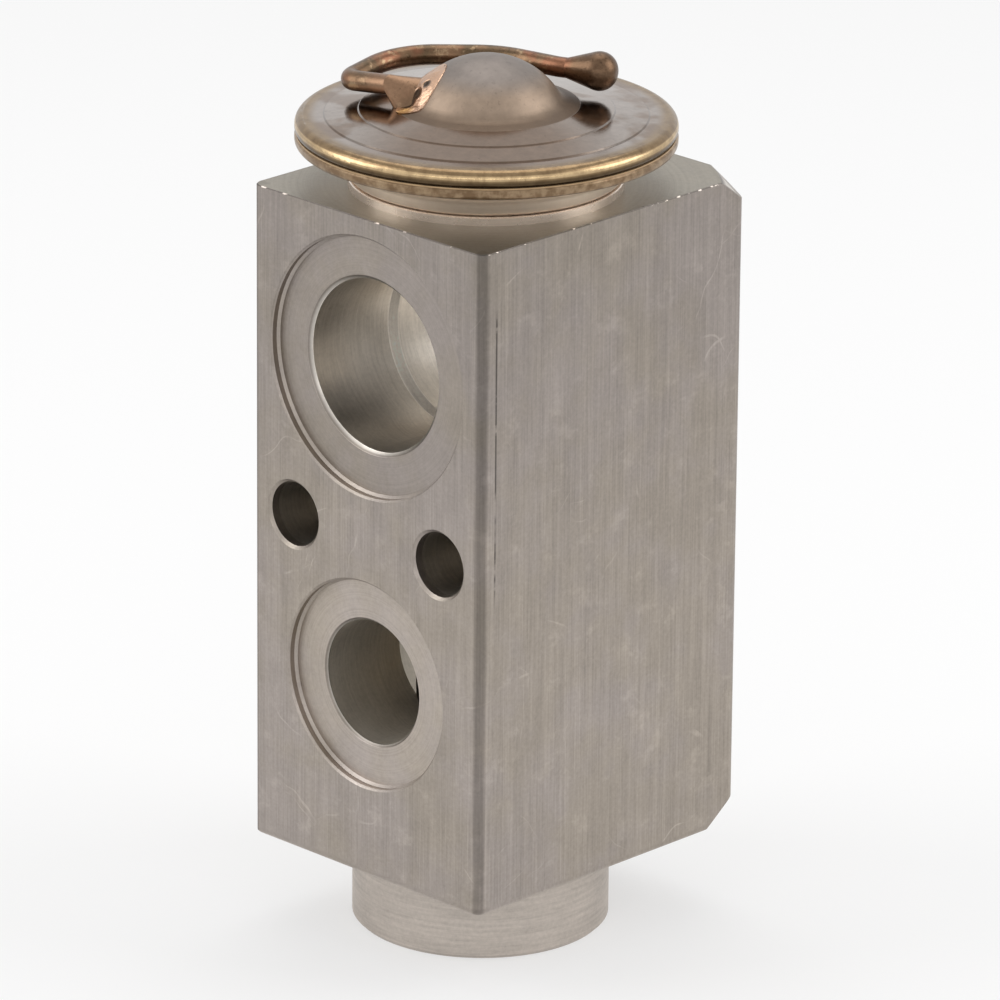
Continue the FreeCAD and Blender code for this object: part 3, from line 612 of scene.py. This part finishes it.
def make_spring():
    """The superheat spring, cut at its middle into two halves that take the place of the hidden whole
    spring.
    """
    low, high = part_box("superheat_spring")
    foot, top = low[2], high[2]
    middle = (foot + top) / 2
    halves = (("spring_lower_coils", "spring_pack", "valve", foot, middle),
              ("spring_upper_coils", "valve", "lift_train", middle, top))
    for name, body_below, body_above, start, end in halves:
        coils = bpy.data.objects.new(name, nodes["superheat_spring"].data.copy())
        bpy.context.scene.collection.objects.link(coils)
        shape = bmesh.new()
        shape.from_mesh(coils.data)
        bmesh.ops.remove_doubles(shape, verts=shape.verts, dist=weld_distance)
        is_lower = start == foot
        cut = bmesh.ops.bisect_plane(
            shape, geom=list(shape.verts) + list(shape.edges) + list(shape.faces),
            plane_co=(0, 0, middle), plane_no=(0, 0, 1), clear_outer=is_lower, clear_inner=not is_lower)
        rims = [item for item in cut["geom_cut"] if isinstance(item, bmesh.types.BMEdge)]
        bmesh.ops.holes_fill(shape, edges=rims)
        shape.to_mesh(coils.data)
        shape.free()
        coils.data.shade_smooth()
        coils.data.set_sharp_from_angle(angle=sharp_angle)
        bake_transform(coils)
        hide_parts("superheat_spring")


def seen_directly(tree):
    """1 for rays from the camera and from metals, and 0 for the rays that only light things."""
    path = tree.nodes.new("ShaderNodeLightPath")
    seen = path.outputs["Is Camera Ray"]
    for name in ("Is Glossy Ray", "Is Transmission Ray"):
        either = tree.nodes.new("ShaderNodeMath")
        either.operation = "MAXIMUM"
        tree.links.new(seen, either.inputs[0])
        tree.links.new(path.outputs[name], either.inputs[1])
        seen = either.outputs[0]
    return seen


def make_world():
    """White where the camera and the metals see it, and a plain soft light on everything else."""
    world = bpy.data.worlds.new("studio")
    bpy.context.scene.world = world
    world.use_nodes = True
    tree = world.node_tree
    strength = tree.nodes.new("ShaderNodeMapRange")
    strength.inputs["To Min"].default_value = world_light
    strength.inputs["To Max"].default_value = 1.0
    tree.links.new(seen_directly(tree), strength.inputs["Value"])
    tree.links.new(strength.outputs[0], tree.nodes["Background"].inputs["Strength"])
    tree.nodes["Background"].inputs["Color"].default_value = (1, 1, 1, 1)


def make_lamp(name, azimuth, elevation, width, height, radiance):
    data = bpy.data.lights.new(name, "AREA")
    data.shape = "RECTANGLE"
    data.size = width
    data.size_y = height
    data.energy = radiance * math.pi * width * height
    lamp = bpy.data.objects.new(name, data)
    bpy.context.scene.collection.objects.link(lamp)
    towards = direction(azimuth, elevation)
    lamp.location = lamp_target + towards * lamp_distance
    lamp.rotation_mode = "QUATERNION"
    lamp.rotation_quaternion = towards.to_track_quat("Z", "Y")


def make_floor():
    """Pale floor, half of it plain white to the camera and to metals, so that the shadow stays."""
    half = floor_size / 2
    corners = [(-half, -half, 0), (half, -half, 0), (half, half, 0), (-half, half, 0)]
    mesh = bpy.data.meshes.new("floor")
    mesh.from_pydata(corners, [], [(0, 1, 2, 3)])
    floor = bpy.data.objects.new("floor", mesh)
    bpy.context.scene.collection.objects.link(floor)
    material = bpy.data.materials.new("floor")
    material.use_nodes = True
    tree = material.node_tree
    shader = tree.nodes["Principled BSDF"]
    shader.inputs["Base Color"].default_value = (floor_shade, floor_shade, floor_shade, 1)
    shader.inputs["Roughness"].default_value = floor_roughness
    shader.inputs["Specular IOR Level"].default_value = 0.0
    white = tree.nodes.new("ShaderNodeEmission")
    share = tree.nodes.new("ShaderNodeMath")
    share.operation = "MULTIPLY"
    share.inputs[1].default_value = floor_white
    tree.links.new(seen_directly(tree), share.inputs[0])
    blend = tree.nodes.new("ShaderNodeMixShader")
    tree.links.new(share.outputs[0], blend.inputs[0])
    tree.links.new(shader.outputs[0], blend.inputs[1])
    tree.links.new(white.outputs[0], blend.inputs[2])
    tree.links.new(blend.outputs[0], tree.nodes["Material Output"].inputs["Surface"])
    mesh.materials.append(material)


make_camera()
make_world()
for lamp_name, settings in lamps.items():
    make_lamp(lamp_name, *settings)
make_floor()
dress()
make_spring()

bpy.context.scene.view_settings.view_transform = "Standard"
